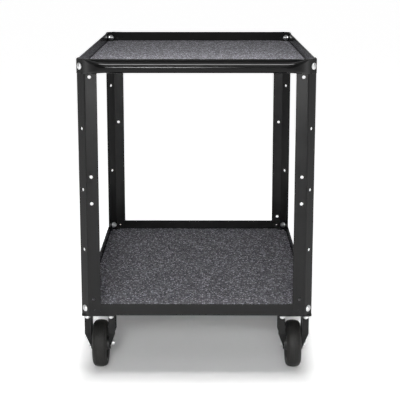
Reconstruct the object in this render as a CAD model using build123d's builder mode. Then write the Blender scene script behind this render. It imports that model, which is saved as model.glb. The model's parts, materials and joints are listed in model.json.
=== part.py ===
"""Two-deck luggage cart: folded steel trays and corner posts, a tubular push handle at each end,
two rigid casters under the front end and two swivelling, braked casters under the rear end.

Frame of the model: millimetres, +Z up, origin on the floor under the middle of the cart.
The long axis is Y. The rigid casters are at the -Y end.
"""

import os
from math import cos, pi, radians, sin, sqrt, tan

from build123d import *

# ---- Driving dimensions -----------------------------------------------------------------------
overall_width = 610.0  # across the outer faces of the posts
frame_length = 914.0  # between the outer faces of the end legs
mount_height = 159.0  # floor to the top of the caster plates
post_length = 678.0

post_sheet = 2.5
post_leg = 31.6  # width of each flat leg
post_facet = 21.1  # how far the 45 degree facet cuts the corner, along X and along Y
post_bend = 6.0  # outside bend radius
post_hole = 8.7
edge_round = 0.8  # on the free edges of the folded posts

tray_sheet = 1.5
lip_height = 31.7
hem_height = 7.0
hem_notch = 26.0  # the hem stops this far short of the posts' outer faces
lip_hole = 6.2
mat_thickness = 2.5
mat_gap = 1.6
mat_corner_cut = 15.0  # how much more the liner's corners are cut than the posts' facets, to clear the nuts

corner_bolt_drop = 18.6  # from the end of a post to its corner bolt
bolt_shank = 8.0
bolt_hole = 8.7

handle_diameter = 25.4
handle_wall = 1.5
handle_reach = 36.0  # centre line of the tube in front of the posts
handle_bend = 60.0
tab_thickness = 3.0  # the crushed tube end
tab_overrun = 12.0  # past the bolt, to the end of the tab
tab_corner = 9.0
crush_end = 14.0  # the tab is flat up to here, then the tube opens
drain_hole = 5.0

wheel_diameter = 127.0
tyre_width = 40.0
tyre_crown_half = 11.0  # half the width of the tread's shallow crown
tyre_crown_drop = 1.5
tyre_shoulder_drop = 11.5  # from the top of the crown to where the wall is straight
rim_diameter = 98.0
rim_width = 36.0
hub_diameter = 34.0
hub_length = 45.0
bush_diameter = 20.0
sleeve_diameter = 14.0
axle_diameter = 10.0
axle_flats = 16.0
axle_head = 6.4
axle_nut_height = 9.5
core_web = 6.0
core_ribs = 8
rib_thickness = 3.5
rib_depth = 30.0
running_gap = 0.05  # radial clearance of every running fit

caster_x = 259.0  # caster centre from the middle of the cart
caster_y = 400.0
plate_x = 92.0
plate_y = 96.0
plate_sheet = 4.0
plate_bolts_x = 62.0
plate_bolts_y = 75.0
plate_slot = 13.0
stud_head = 11.0
stud_reach = 14.0  # below the tray
fork_gap = 46.0  # between the inner faces of the fork's legs
fork_sheet = 3.0
fork_flange = 17.5  # depth of a rigid leg, web and flange together
fork_leg_width = 54.0
fork_boss = 16.0  # radius of the leg's rounded foot, round the axle
flange_full_z = 99.0  # the rigid leg's flange is full depth above this
flange_end_z = 58.0  # and has run out to the web here

swivel_trail = 36.0  # kingpin to axle
race_radius = 20.0
race_depth = 4.5
race_half = 6.0  # half the width of the race ring
ball_diameter = 6.3
ball_count = 16
kingpin_diameter = 12.0
crown_z = 147.5  # top of the swivel fork's crown
crown_width = 58.0
crown_sheet = 4.0

kingpin_reach = 9.0  # how far the pin comes out below the crown
kingpin_nut_flats = 18.0
kingpin_nut_height = 7.0
kingpin_washer = 20.0
washer_sheet = 1.5
washer_gap = 0.3  # between the washer and the turning crown

brake_pin_trail = 80.0  # kingpin to brake pin
brake_pin_z = 121.0
brake_pin_diameter = 6.0
brake_swing = 16.0  # degrees from released to applied
pedal_width = 38.0
shoe_width = 30.0
brake_ear = 9.0  # radius of the fork's ear, round the brake pin
shoe_gap = 0.5  # between the applied shoe and the tyre
shoe_depth = 6.0
shoe_start, shoe_stop = 29, 47  # degrees round the axle, up from level

button_flange = 17.5
button_height = 4.6
socket_flats = 5.0
socket_depth = 2.6
nut_flats = 13.0
nut_height = 8.0
nut_flange = 17.9

# ---- Worked out from them ----------------------------------------------------------------------
half_width = overall_width / 2
half_length = frame_length / 2
post_top = mount_height + post_length
post_middle = mount_height + post_length / 2
upper_tray_z = post_top - lip_height
lower_tray_z = mount_height
upper_bolt_z = post_top - corner_bolt_drop
lower_bolt_z = mount_height + corner_bolt_drop
axle_z = wheel_diameter / 2
plate_z = mount_height - plate_sheet
axle_grip = fork_gap + 2 * fork_sheet
ball_z = crown_z + 1.5
sides = {"left": -1, "right": 1}
ends = {"front": -1, "rear": 1}

os.makedirs("parts", exist_ok=True)


def save(name, part):
    """Label a finished piece and write it as its own file."""
    part.label = name
    export_step(part, f"parts/{name}.step")


def corner_plane(side_x, side_y, z, lift):
    """The plane of a corner facet at height z, moved out of the facet by lift."""
    out = Vector(side_x, side_y, 0).normalized()
    middle = Vector(side_x * (half_width - post_facet / 2), side_y * (half_length - post_facet / 2), z)
    return Plane(origin=middle + out * lift, x_dir=(0, 0, 1), z_dir=out)


def all_corners(z, lift):
    return [corner_plane(x, y, z, lift) for y in ends.values() for x in sides.values()]


def copies(name, piece, planes):
    """Identical fasteners share one node, one separate solid at each plane."""
    with BuildPart() as group:
        with Locations(*[plane.location for plane in planes]):
            add(piece)
    save(name, group.part)


# ---- Corner posts ------------------------------------------------------------------------------
# Hole heights are counted from the middle of the post.
corner_bolts_at = post_length / 2 - corner_bolt_drop
post_holes = {
    "front_left": {"facet": (160.2, 0, -160.2), "leg": (293.4, 35.3, -35.3, -293.4)},
    "front_right": {"facet": (160.2, 0, -160.2), "leg": (293.4, 35.3, -35.3, -293.4)},
    "rear_left": {"facet": (160.2, -130.0), "leg": (35.3,)},
    "rear_right": {"facet": (160.2, -130.0), "leg": (35.3, -293.4)},
}
leg_hole_x = half_width - post_facet - post_leg + 18.8
leg_slot = (9.0, 5.5)
leg_slots_at = post_length / 2 - 14.5


def make_post(name, side_x, side_y, facet_holes, leg_holes):
    x_out, y_out = side_x * half_width, side_y * half_length
    leg_plane = Plane(origin=(side_x * leg_hole_x, y_out, post_middle), x_dir=(0, 0, 1), z_dir=(0, side_y, 0))
    with BuildPart() as post:
        with BuildSketch(Plane.XY.offset(mount_height)):
            with BuildLine():
                FilletPolyline(
                    (x_out - side_x * (post_facet + post_leg), y_out),
                    (x_out - side_x * post_facet, y_out),
                    (x_out, y_out - side_y * post_facet),
                    (x_out, y_out - side_y * (post_facet + post_leg)),
                    radius=post_bend,
                )
                offset(amount=post_sheet, side=Side.RIGHT if side_x * side_y > 0 else Side.LEFT)
            make_face()
        extrude(amount=post_length)
        free_x, free_y = x_out - side_x * (post_facet + post_leg), y_out - side_y * (post_facet + post_leg)
        upright = post.edges().filter_by(Axis.Z)
        fillet(upright.filter_by_position(Axis.X, free_x, free_x) +
               upright.filter_by_position(Axis.Y, free_y, free_y), edge_round)
        with BuildSketch(corner_plane(side_x, side_y, post_middle, 0)):
            with Locations(*[(height, 0) for height in facet_holes]):
                Circle(post_hole / 2)
            with Locations((corner_bolts_at, 0), (-corner_bolts_at, 0)):
                Circle(bolt_hole / 2)
        extrude(amount=2 * post_sheet, both=True, mode=Mode.SUBTRACT)
        with BuildSketch(leg_plane):
            with Locations(*[(height, 0) for height in leg_holes]):
                Circle(post_hole / 2)
            with Locations((leg_slots_at, 0), (-leg_slots_at, 0)):
                SlotOverall(*leg_slot, rotation=90)
        extrude(amount=2 * post_sheet, both=True, mode=Mode.SUBTRACT)
    save(name, post.part)


for end, side_y in ends.items():
    for side, side_x in sides.items():
        holes = post_holes[f"{end}_{side}"]
        make_post(f"post_{end}_{side}", side_x, side_y, holes["facet"], holes["leg"])


# ---- Trays and their liners --------------------------------------------------------------------
def deck_corners(inset):
    """The posts' outer outline moved inwards: a rectangle with its corners cut at 45 degrees."""
    cut = post_facet - inset * (2 - sqrt(2))
    x, y = half_width - inset, half_length - inset
    return [
        (x - cut, y), (x, y - cut), (x, -y + cut), (x - cut, -y),
        (-x + cut, -y), (-x, -y + cut), (-x, y - cut), (-x + cut, y),
    ]


def deck_outline(inset):
    """A filled deck outline, its bends concentric with the posts' bends."""
    with BuildSketch() as outline:
        with BuildLine():
            FilletPolyline(*deck_corners(inset), radius=max(post_bend - inset, 0.5), close=True)
        make_face()
    return outline.sketch


def make_tray(name, bottom_z, bolt_z, hole_insets, stud_points):
    """A pan with its lips up: hemmed rim, a bolt hole in each corner, punched holes in the end lips."""
    inside = post_sheet + tray_sheet
    top_z = bottom_z + lip_height
    with BuildPart() as tray:
        with BuildSketch(Plane.XY.offset(bottom_z)):
            add(deck_outline(post_sheet))
        extrude(amount=lip_height)
        fillet(tray.edges().group_by(Axis.Z)[0], 2 * tray_sheet)
        with BuildSketch(Plane.XY.offset(bottom_z + tray_sheet)):
            add(deck_outline(inside))
        extrude(amount=lip_height, mode=Mode.SUBTRACT)
        floor_edges = tray.edges().filter_by_position(Axis.Z, bottom_z + tray_sheet, bottom_z + tray_sheet)
        fillet(floor_edges, tray_sheet)
        with BuildSketch(Plane.XY.offset(top_z - hem_height)):
            add(deck_outline(inside))
            add(deck_outline(inside + tray_sheet), mode=Mode.SUBTRACT)
        extrude(amount=hem_height)
        fillet(tray.edges().group_by(Axis.Z)[-1], 0.7)
        with BuildSketch(Plane.XY.offset(top_z - hem_height)):
            with GridLocations(overall_width, frame_length, 2, 2):
                Rectangle(2 * hem_notch, 2 * hem_notch)
            add(deck_outline(inside), mode=Mode.INTERSECT)
        extrude(amount=hem_height, mode=Mode.SUBTRACT)
        for side_y in ends.values():
            for side_x in sides.values():
                with BuildSketch(corner_plane(side_x, side_y, bolt_z, -post_sheet)):
                    Circle(bolt_hole / 2)
                extrude(amount=2 * tray_sheet, both=True, mode=Mode.SUBTRACT)
        with BuildSketch(Plane(origin=(0, 0, bolt_z), x_dir=(1, 0, 0), z_dir=(0, -1, 0))):
            across = [side_x * (half_width - inset) for side_x in (-1, 1) for inset in hole_insets]
            with Locations(*[(x, 0) for x in across]):
                Circle(lip_hole / 2)
        extrude(amount=half_length, both=True, mode=Mode.SUBTRACT)
        if stud_points:
            with BuildSketch(Plane.XY.offset(bottom_z)):
                with Locations(*stud_points):
                    Circle(stud_head / 2)
            extrude(amount=tray_sheet, mode=Mode.SUBTRACT)
    save(name, at_the_bends(tray.part, bottom_z))


def at_the_bends(tray, bottom_z):
    """One pressing, written as solids that meet face to face: the flat floor, four lips and four corners."""
    with BuildPart() as floor:
        add(tray)
        with BuildSketch(Plane.XY.offset(bottom_z)):
            add(deck_outline(post_sheet + 2 * tray_sheet))
        extrude(amount=lip_height, mode=Mode.INTERSECT)
    with BuildPart() as lips:
        add(tray)
        with BuildSketch(Plane.XY.offset(bottom_z)):
            add(deck_outline(post_sheet + 2 * tray_sheet))
            with GridLocations(overall_width, frame_length, 2, 2):
                Rectangle(2 * hem_notch, 2 * hem_notch)
        extrude(amount=lip_height, mode=Mode.SUBTRACT)
    with BuildPart() as corners:
        add(tray)
        with BuildSketch(Plane.XY.offset(bottom_z)):
            with GridLocations(overall_width, frame_length, 2, 2):
                Rectangle(2 * hem_notch, 2 * hem_notch)
            add(deck_outline(post_sheet + 2 * tray_sheet), mode=Mode.SUBTRACT)
        extrude(amount=lip_height, mode=Mode.INTERSECT)
    return Compound(children=[*floor.solids(), *lips.solids(), *corners.solids()])


def make_mat(name, bottom_z):
    """A liner sheet inside the tray's lips, its corners cut back clear of the corner nuts."""
    x, y = half_width - post_sheet - tray_sheet - mat_gap, half_length - post_sheet - tray_sheet - mat_gap
    cut = post_facet + mat_corner_cut
    with BuildPart() as mat:
        with BuildSketch(Plane.XY.offset(bottom_z)):
            with BuildLine():
                Polyline((x - cut, y), (x, y - cut), (x, -y + cut), (x - cut, -y),
                         (-x + cut, -y), (-x, -y + cut), (-x, y - cut), (-x + cut, y), close=True)
            make_face()
        extrude(amount=mat_thickness)
    save(name, mat.part)


stud_points = [
    (side_x * caster_x + bolt_x * plate_bolts_x / 2, side_y * caster_y + bolt_y * plate_bolts_y / 2)
    for side_x in (-1, 1) for side_y in (-1, 1) for bolt_x in (-1, 1) for bolt_y in (-1, 1)
]
upper_hole_insets = (35.5, 51.0)
lower_hole_insets = (36.5, 44.5)

make_tray("upper_tray", upper_tray_z, upper_bolt_z, upper_hole_insets, [])
make_tray("lower_tray", lower_tray_z, lower_bolt_z, lower_hole_insets, stud_points)
make_mat("upper_deck_mat", upper_tray_z + tray_sheet)
make_mat("lower_deck_mat", lower_tray_z + tray_sheet)


# ---- Push handles ------------------------------------------------------------------------------
# The centre line leaves the corner facet along the facet, then bends round to run along X.
diagonal = sqrt(0.5)
tab_start = Vector(
    -(half_width - post_facet / 2) - diagonal * tab_thickness / 2,
    -(half_length - post_facet / 2) - diagonal * tab_thickness / 2,
    upper_bolt_z,
)
facet_way = Vector(diagonal, -diagonal, 0)
handle_y = -(half_length + handle_reach)
corner_run = (tab_start.Y - handle_y) / diagonal
bend_start = corner_run - handle_bend * tan(radians(22.5))
tube_round = 0.1  # the straight that keeps the round section a slot


def crushed_height(thickness):
    """Height of the tube once it is crushed to a thickness: its wall keeps its length."""
    return thickness + pi * (handle_diameter - thickness) / 2 + tube_round


def bend_point(turn):
    """Point and heading on the bend after a turn in degrees."""
    start = tab_start + facet_way * bend_start
    centre = start + Vector(diagonal, diagonal, 0) * handle_bend
    angle = radians(turn - 45)
    return centre + Vector(sin(angle), -cos(angle), 0) * handle_bend, Vector(cos(angle), sin(angle), 0)


bend_exit = bend_point(45)[0]
crush = [
    (tab_thickness, tab_start + facet_way * crush_end, facet_way),
    (5.2, tab_start + facet_way * (crush_end + 9), facet_way),
    (11.5, *bend_point(0)),
    (17.5, *bend_point(15)),
    (22.5, *bend_point(30)),
    (handle_diameter, *bend_point(45)),
]
with BuildPart() as front_handle:
    with BuildSketch(Plane(origin=tab_start - facet_way * tab_overrun, x_dir=(0, 0, 1), z_dir=facet_way)):
        SlotOverall(crushed_height(tab_thickness), tab_thickness)
    extrude(amount=tab_overrun + crush_end)
    with BuildSketch(corner_plane(-1, -1, upper_bolt_z, 0)):
        with Locations((0, tab_corner / 2 - tab_overrun)):
            Rectangle(crushed_height(tab_thickness) + 2, tab_corner)
        with Locations((0, tab_corner - tab_overrun)):
            RectangleRounded(crushed_height(tab_thickness), 2 * tab_corner, tab_corner - tube_round,
                             mode=Mode.SUBTRACT)
    extrude(amount=2 * tab_thickness, mode=Mode.SUBTRACT)
    for thickness, place, way in crush:
        with BuildSketch(Plane(origin=place, x_dir=(0, 0, 1), z_dir=way)):
            SlotOverall(crushed_height(thickness), thickness)
    loft()
    with BuildSketch(Plane(origin=bend_exit, x_dir=(0, 0, 1), z_dir=(1, 0, 0))):
        SlotOverall(crushed_height(handle_diameter), handle_diameter)
    extrude(amount=-bend_exit.X)
    mirror(about=Plane.YZ)
    with BuildSketch(Plane.YZ):
        with Locations((handle_y, upper_bolt_z)):
            Circle(handle_diameter / 2 - handle_wall)
    extrude(amount=-bend_exit.X - handle_wall, both=True, mode=Mode.SUBTRACT)
    with BuildSketch(Plane.XY.offset(upper_bolt_z)):
        with Locations((-bend_exit.X - 15, handle_y), (bend_exit.X + 15, handle_y)):
            Circle(drain_hole / 2)
    extrude(amount=-handle_diameter, mode=Mode.SUBTRACT)
    for side_x in sides.values():
        with BuildSketch(corner_plane(side_x, -1, upper_bolt_z, 0)):
            Circle(bolt_hole / 2)
        extrude(amount=2 * tab_thickness, mode=Mode.SUBTRACT)
save("front_push_handle", front_handle.part)

with BuildPart() as rear_handle:
    mirror(objects=front_handle.part, about=Plane.XZ)
save("rear_push_handle", rear_handle.part)


# ---- Corner fasteners --------------------------------------------------------------------------
def button_bolt(length):
    """A flanged button-head bolt, its seat at the origin and its shank along -Z."""
    with BuildPart() as bolt:
        with BuildSketch(Plane.XZ):
            with BuildLine():
                Polyline((0, -length), (bolt_shank / 2 - 0.8, -length), (bolt_shank / 2, -length + 0.8),
                         (bolt_shank / 2, 0), (button_flange / 2, 0), (button_flange / 2, 1.1), (6.9, 1.6))
                ThreePointArc((6.9, 1.6), (5.1, 3.7), (2.4, button_height))
                Polyline((2.4, button_height), (0, button_height), (0, -length))
            make_face()
        revolve(axis=Axis.Z)
        with BuildSketch(Plane.XY.offset(button_height)):
            RegularPolygon(socket_flats / 2, 6, major_radius=False)
        extrude(amount=-socket_depth, mode=Mode.SUBTRACT)
    return bolt.part


def flange_nut(flats, height, flange, bore):
    """A flange nut, its seat at the origin and its body along +Z."""
    with BuildPart() as nut:
        with BuildSketch():
            RegularPolygon(flats / 2, 6, major_radius=False)
        extrude(amount=height)
        with BuildSketch(Plane.XZ):
            with BuildLine():
                Polyline((0, 0), (flange / 2, 0), (flange / 2, 1.0), (flats / 2, 2.6), (0, 2.6), (0, 0))
            make_face()
        revolve(axis=Axis.Z)
        chamfer(nut.edges().group_by(Axis.Z)[-1], 0.5)
        with BuildSketch():
            Circle(bore / 2)
        extrude(amount=height, mode=Mode.SUBTRACT)
    return nut.part


small_nut = flange_nut(nut_flats, nut_height, nut_flange, bolt_shank)
copies("upper_corner_bolts", button_bolt(20.0), all_corners(upper_bolt_z, tab_thickness))
copies("lower_corner_bolts", button_bolt(16.0), all_corners(lower_bolt_z, 0))


def inward(planes):
    return [Plane(origin=plane.origin, x_dir=plane.x_dir, z_dir=-plane.z_dir) for plane in planes]


for level, bolt_z in (("upper", upper_bolt_z), ("lower", lower_bolt_z)):
    copies(f"{level}_corner_nuts", small_nut, inward(all_corners(bolt_z, -post_sheet - tray_sheet)))


# ---- Casters -----------------------------------------------------------------------------------
def line_plane(x, y, z):
    """A plane across the cart: its own x runs along world Y, its own y along world Z, its normal is +X."""
    return Plane(origin=(x, y, z), x_dir=(0, 1, 0), z_dir=(1, 0, 0))


caster_centres = {
    f"{end}_{side}": (side_x * caster_x, side_y * caster_y)
    for end, side_y in ends.items() for side, side_x in sides.items()
}


def clinch_stud():
    """A stud pressed flush into the lower tray; origin on the tray's underside, shank along -Z."""
    with BuildPart() as stud:
        with BuildSketch():
            Circle(stud_head / 2)
        extrude(amount=tray_sheet)
        with BuildSketch():
            Circle(bolt_shank / 2)
        extrude(amount=-stud_reach)
        chamfer(stud.edges().group_by(Axis.Z)[0], 0.8)
    return stud.part


copies("caster_studs", clinch_stud(), [Plane(origin=(x, y, mount_height)) for x, y in stud_points])
copies("caster_nuts", small_nut,
       [Plane(origin=(x, y, plate_z), x_dir=(1, 0, 0), z_dir=(0, 0, -1)) for x, y in stud_points])


def plate_outline(x, y):
    """The mounting plate with its four slots, in plan."""
    with BuildSketch() as plate:
        with Locations((x, y)):
            RectangleRounded(plate_x, plate_y, 8)
            with GridLocations(plate_bolts_x, plate_bolts_y, 2, 2):
                SlotOverall(plate_slot, post_hole, mode=Mode.SUBTRACT)
    return plate.sketch


def rigid_leg_outline():
    """A leg seen from the side: straight under the plate, then tapering to a round foot."""
    with BuildSketch() as leg:
        with Locations((0, (plate_z + flange_full_z) / 2 - axle_z)):
            Rectangle(fork_leg_width, plate_z - flange_full_z)
        Circle(fork_boss)
        make_hull()
    return leg.sketch


def make_rigid_fork(name, x, y):
    """One pressing: the plate and two legs whose edges are turned outwards into flanges."""
    web_x = fork_gap / 2 + fork_sheet
    edge_x = fork_gap / 2 + fork_flange
    with BuildPart() as fork:
        with BuildSketch(Plane.XY.offset(plate_z)):
            add(plate_outline(x, y))
        extrude(amount=plate_sheet)
        for side_x in sides.values():
            with BuildSketch(line_plane(x + side_x * fork_gap / 2, y, axle_z)):
                add(rigid_leg_outline())
            extrude(amount=side_x * fork_flange)
            with BuildSketch(line_plane(x + side_x * web_x, y, axle_z)):
                add(offset(rigid_leg_outline(), amount=-fork_sheet))
            extrude(amount=side_x * fork_flange, mode=Mode.SUBTRACT)
            with BuildSketch(Plane(origin=(x, y, 0), x_dir=(side_x, 0, 0), z_dir=(0, -side_x, 0))):
                with BuildLine():
                    Polyline((web_x, flange_end_z), (edge_x, flange_full_z),
                             (edge_x + fork_sheet, flange_full_z), (edge_x + fork_sheet, 0),
                             (web_x, 0), close=True)
                make_face()
            extrude(amount=fork_leg_width, both=True, mode=Mode.SUBTRACT)
        with BuildSketch(line_plane(x, y, axle_z)):
            Circle(axle_diameter / 2 + 0.1)
        extrude(amount=edge_x, both=True, mode=Mode.SUBTRACT)
    save(name, fork.part)


def hex_bolt(grip, end):
    """An axle bolt: head on the -Z side, the middle of its grip at the origin."""
    with BuildPart() as bolt:
        with BuildSketch(Plane.XY.offset(-grip / 2)):
            RegularPolygon(axle_flats / 2, 6, major_radius=False)
        extrude(amount=-axle_head)
        chamfer(bolt.edges().group_by(Axis.Z)[0], 0.6)
        with BuildSketch(Plane.XY.offset(-grip / 2)):
            Circle(axle_diameter / 2)
        extrude(amount=grip + end)
        chamfer(bolt.edges().group_by(Axis.Z)[-1], 0.8)
    return bolt.part


def lock_nut():
    """A nylon-collar nut, its seat at the origin and its body along +Z."""
    with BuildPart() as nut:
        with BuildSketch():
            RegularPolygon(axle_flats / 2, 6, major_radius=False)
        extrude(amount=axle_nut_height - 2.5)
        with BuildSketch(Plane.XY.offset(axle_nut_height - 2.5)):
            Circle(axle_flats / 2 - 1)
        extrude(amount=2.5)
        chamfer(nut.edges().group_by(Axis.Z)[-1], 0.8)
        with BuildSketch():
            Circle(axle_diameter / 2)
        extrude(amount=axle_nut_height, mode=Mode.SUBTRACT)
    return nut.part


def axle_sleeve():
    """The spacer tube clamped between the legs, which the bush turns on."""
    with BuildPart() as sleeve:
        with BuildSketch(Plane.XY.offset(-fork_gap / 2)):
            Circle(sleeve_diameter / 2)
            Circle(axle_diameter / 2 + 0.1, mode=Mode.SUBTRACT)
        extrude(amount=fork_gap)
    return sleeve.part


def axle_hardware(prefix, plural, places):
    """The axle bolt, its nut and its sleeve at each axle centre."""
    along = [Plane(origin=place, x_dir=(0, 1, 0), z_dir=(1, 0, 0)) for place in places]
    copies(f"{prefix}_axle_bolt{plural}", hex_bolt(axle_grip, axle_nut_height + 1.5), along)
    copies(f"{prefix}_axle_nut{plural}", lock_nut(), [plane.offset(axle_grip / 2) for plane in along])
    copies(f"{prefix}_axle_sleeve{plural}", axle_sleeve(), along)


def tyre_outline():
    """Section of the tyre: a round crown and shoulders, and a flat seat on the rim."""
    tread, wall, seat = wheel_diameter / 2, tyre_width / 2, rim_diameter / 2
    crown = (tyre_crown_half, tread - tyre_crown_drop)
    shoulder = (tyre_crown_half + 0.66 * (wall - tyre_crown_half), tread - 0.42 * tyre_shoulder_drop)
    wall_top = (wall, tread - tyre_shoulder_drop)
    with BuildSketch() as outline:
        with BuildLine():
            Line((rim_width / 2, seat), (0, seat))
            Line((rim_width / 2, seat), (wall, seat + 2))
            Line((wall, seat + 2), wall_top)
            ThreePointArc(wall_top, shoulder, crown)
            ThreePointArc(crown, (tyre_crown_half / 2, tread - tyre_crown_drop / 4), (0, tread))
            mirror(about=Plane.YZ)
        make_face()
    return outline.sketch


def make_wheel(name, x, y):
    axis = Axis((x, y, axle_z), (1, 0, 0))
    section = Plane(origin=(x, y, axle_z), x_dir=(1, 0, 0), z_dir=(0, -1, 0))
    rim_bottom = rim_diameter / 2 - 6
    with BuildPart() as tyre:
        with BuildSketch(section):
            add(tyre_outline())
        revolve(axis=axis)
    save(f"{name}_tyre", tyre.part)
    with BuildPart() as core:
        with BuildSketch(section):
            with Locations((0, (bush_diameter + hub_diameter) / 4)):
                Rectangle(hub_length, (hub_diameter - bush_diameter) / 2)
            with Locations((0, (hub_diameter / 2 + rim_diameter / 2) / 2)):
                Rectangle(core_web, (rim_diameter - hub_diameter) / 2)
            with Locations((0, (rim_bottom + rim_diameter / 2) / 2)):
                Rectangle(rim_width, rim_diameter / 2 - rim_bottom)
        revolve(axis=axis)
        with BuildSketch(line_plane(x, y, axle_z)):
            with PolarLocations((hub_diameter / 2 + rim_bottom) / 2, core_ribs):
                Rectangle(rim_bottom - hub_diameter / 2 + 2, rib_thickness)
        extrude(amount=rib_depth / 2, both=True)
        with BuildSketch(line_plane(x, y, axle_z)):
            Circle(bush_diameter / 2)
        extrude(amount=hub_length, both=True, mode=Mode.SUBTRACT)
    save(f"{name}_wheel_core", core.part)
    with BuildPart() as bush:
        with BuildSketch(line_plane(x, y, axle_z)):
            Circle(bush_diameter / 2)
            Circle(sleeve_diameter / 2 + running_gap, mode=Mode.SUBTRACT)
        extrude(amount=hub_length / 2, both=True)
    save(f"{name}_wheel_bush", bush.part)


# ---- Swivelling rear casters -------------------------------------------------------------------
def make_top_plate(name, x, y):
    """The swivel caster's plate with its pressed-down upper race."""
    with BuildPart() as plate:
        with BuildSketch(Plane.XY.offset(plate_z)):
            add(plate_outline(x, y))
        extrude(amount=plate_sheet)
        with BuildSketch(Plane.XY.offset(plate_z)):
            with Locations((x, y)):
                Circle(race_radius + race_half)
                Circle(race_radius - race_half, mode=Mode.SUBTRACT)
        extrude(amount=-race_depth)
        with BuildSketch(Plane.XY.offset(plate_z - race_depth)):
            with Locations((x, y)):
                Circle(kingpin_diameter / 2)
        extrude(amount=race_depth + plate_sheet, mode=Mode.SUBTRACT)
        race_cut(x, y)
    save(name, plate.part)


def race_cut(x, y):
    """The ball groove, cut into whichever part is being built."""
    with Locations((x, y, ball_z)):
        Torus(race_radius, ball_diameter / 2 + running_gap, mode=Mode.SUBTRACT)


def swivel_leg_outline():
    """A swivel leg from the side, its origin at the kingpin: crown, axle boss and brake pin ear."""
    with BuildSketch() as leg:
        with Locations((0, crown_z - fork_sheet)):
            Rectangle(crown_width, 2 * fork_sheet)
        with Locations((-swivel_trail, axle_z)):
            Circle(fork_boss)
        with Locations((-brake_pin_trail, brake_pin_z)):
            Circle(brake_ear)
        make_hull()
    return leg.sketch


def make_swivel_fork(name, x, y):
    with BuildPart() as fork:
        with BuildSketch(Plane.XY.offset(crown_z - crown_sheet)):
            with Locations((x, y)):
                Rectangle(fork_gap + 2 * fork_sheet, crown_width)
        extrude(amount=crown_sheet)
        for side_x in sides.values():
            with BuildSketch(line_plane(x + side_x * fork_gap / 2, y, 0)):
                add(swivel_leg_outline())
            extrude(amount=side_x * fork_sheet)
        with BuildSketch(Plane.XY.offset(crown_z)):
            with Locations((x, y)):
                Circle(kingpin_diameter / 2 + running_gap)
        extrude(amount=-2 * fork_sheet, mode=Mode.SUBTRACT)
        race_cut(x, y)
        with BuildSketch(line_plane(x, y, 0)):
            with Locations((-swivel_trail, axle_z)):
                Circle(axle_diameter / 2 + 0.1)
            with Locations((-brake_pin_trail, brake_pin_z)):
                Circle(brake_pin_diameter / 2)
        extrude(amount=fork_gap, both=True, mode=Mode.SUBTRACT)
    save(name, fork.part)


def make_ball_ring(name, x, y):
    with BuildPart() as ring:
        with Locations((x, y, ball_z)):
            with PolarLocations(race_radius, ball_count):
                Sphere(ball_diameter / 2)
    save(name, ring.part)


def kingpin():
    """Riveted into the plate above and through the crown; origin at the plate's top."""
    crown_bottom = crown_z - crown_sheet - mount_height
    with BuildPart() as pin:
        with BuildSketch():
            Circle(kingpin_diameter / 2)
        extrude(amount=crown_bottom - kingpin_reach)
        chamfer(pin.edges().group_by(Axis.Z)[0], 1)
    return pin.part


def kingpin_nut():
    """A nut with its washer face up, just clear of the crown; origin at the plate's top."""
    seat = crown_z - crown_sheet - mount_height - washer_gap
    with BuildPart() as nut:
        with BuildSketch(Plane.XY.offset(seat)):
            RegularPolygon(kingpin_nut_flats / 2, 6, major_radius=False)
        extrude(amount=-kingpin_nut_height)
        with BuildSketch(Plane.XY.offset(seat)):
            Circle(kingpin_washer / 2)
        extrude(amount=-washer_sheet)
        with BuildSketch(Plane.XY.offset(seat)):
            Circle(kingpin_diameter / 2)
        extrude(amount=-kingpin_nut_height, mode=Mode.SUBTRACT)
    return nut.part


def make_brake(name, x, y):
    """Pedal and shoe, drawn with the brake applied on a plane at the pin, then swung back."""
    pin = line_plane(x, y - brake_pin_trail, brake_pin_z)
    released = Plane(origin=pin.origin, x_dir=pin.x_dir.rotate(Axis.X, -brake_swing), z_dir=(1, 0, 0))
    axle = (brake_pin_trail - swivel_trail, axle_z - brake_pin_z)
    shoe_face = wheel_diameter / 2 + shoe_gap
    shoe_back = shoe_face + shoe_depth
    with BuildPart() as pedal:
        with BuildSketch(released):
            Circle(6)
            with Locations((-22, -21)):
                Circle(4)
            make_hull()
            with BuildLine():
                Polyline((-14, -10), (-50, -34), (-56, -34), (-56, -38), (-49, -38), (-20, -21), close=True)
            make_face()
            with Locations(axle):
                Circle(shoe_back, mode=Mode.SUBTRACT)
        extrude(amount=pedal_width / 2, both=True)
        with BuildSketch(pin):
            Circle(6)
        extrude(amount=fork_gap / 2 - 0.5, both=True)
        with BuildSketch(pin):
            Circle(brake_pin_diameter / 2 + running_gap)
        extrude(amount=fork_gap / 2, both=True, mode=Mode.SUBTRACT)
    save(f"{name}_brake_pedal", pedal.part)
    with BuildPart() as shoe:
        with BuildSketch(released):
            with BuildLine():
                for radius in (shoe_face, shoe_back):
                    CenterArc(axle, radius, 180 - shoe_stop, shoe_stop - shoe_start)
                for angle in (180 - shoe_start, 180 - shoe_stop):
                    way = Vector(cos(radians(angle)), sin(radians(angle)))
                    Line(Vector(*axle) + way * shoe_face, Vector(*axle) + way * shoe_back)
            make_face()
        extrude(amount=shoe_width / 2, both=True)
    save(f"{name}_brake_shoe", shoe.part)
    with BuildPart() as brake_pin:
        with BuildSketch(pin):
            Circle(brake_pin_diameter / 2)
        extrude(amount=fork_gap / 2 + fork_sheet + 1.5, both=True)
    save(f"{name}_brake_pin", brake_pin.part)


for side in sides:
    x, y = caster_centres[f"front_{side}"]
    make_rigid_fork(f"front_{side}_fork", x, y)
    make_wheel(f"front_{side}", x, y)
    x, y = caster_centres[f"rear_{side}"]
    make_top_plate(f"rear_{side}_top_plate", x, y)
    make_ball_ring(f"rear_{side}_ball_ring", x, y)
    make_swivel_fork(f"rear_{side}_fork", x, y)
    make_brake(f"rear_{side}", x, y)
    make_wheel(f"rear_{side}", x, y - swivel_trail)
    axle_hardware(f"rear_{side}", "", [(x, y - swivel_trail, axle_z)])

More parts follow.
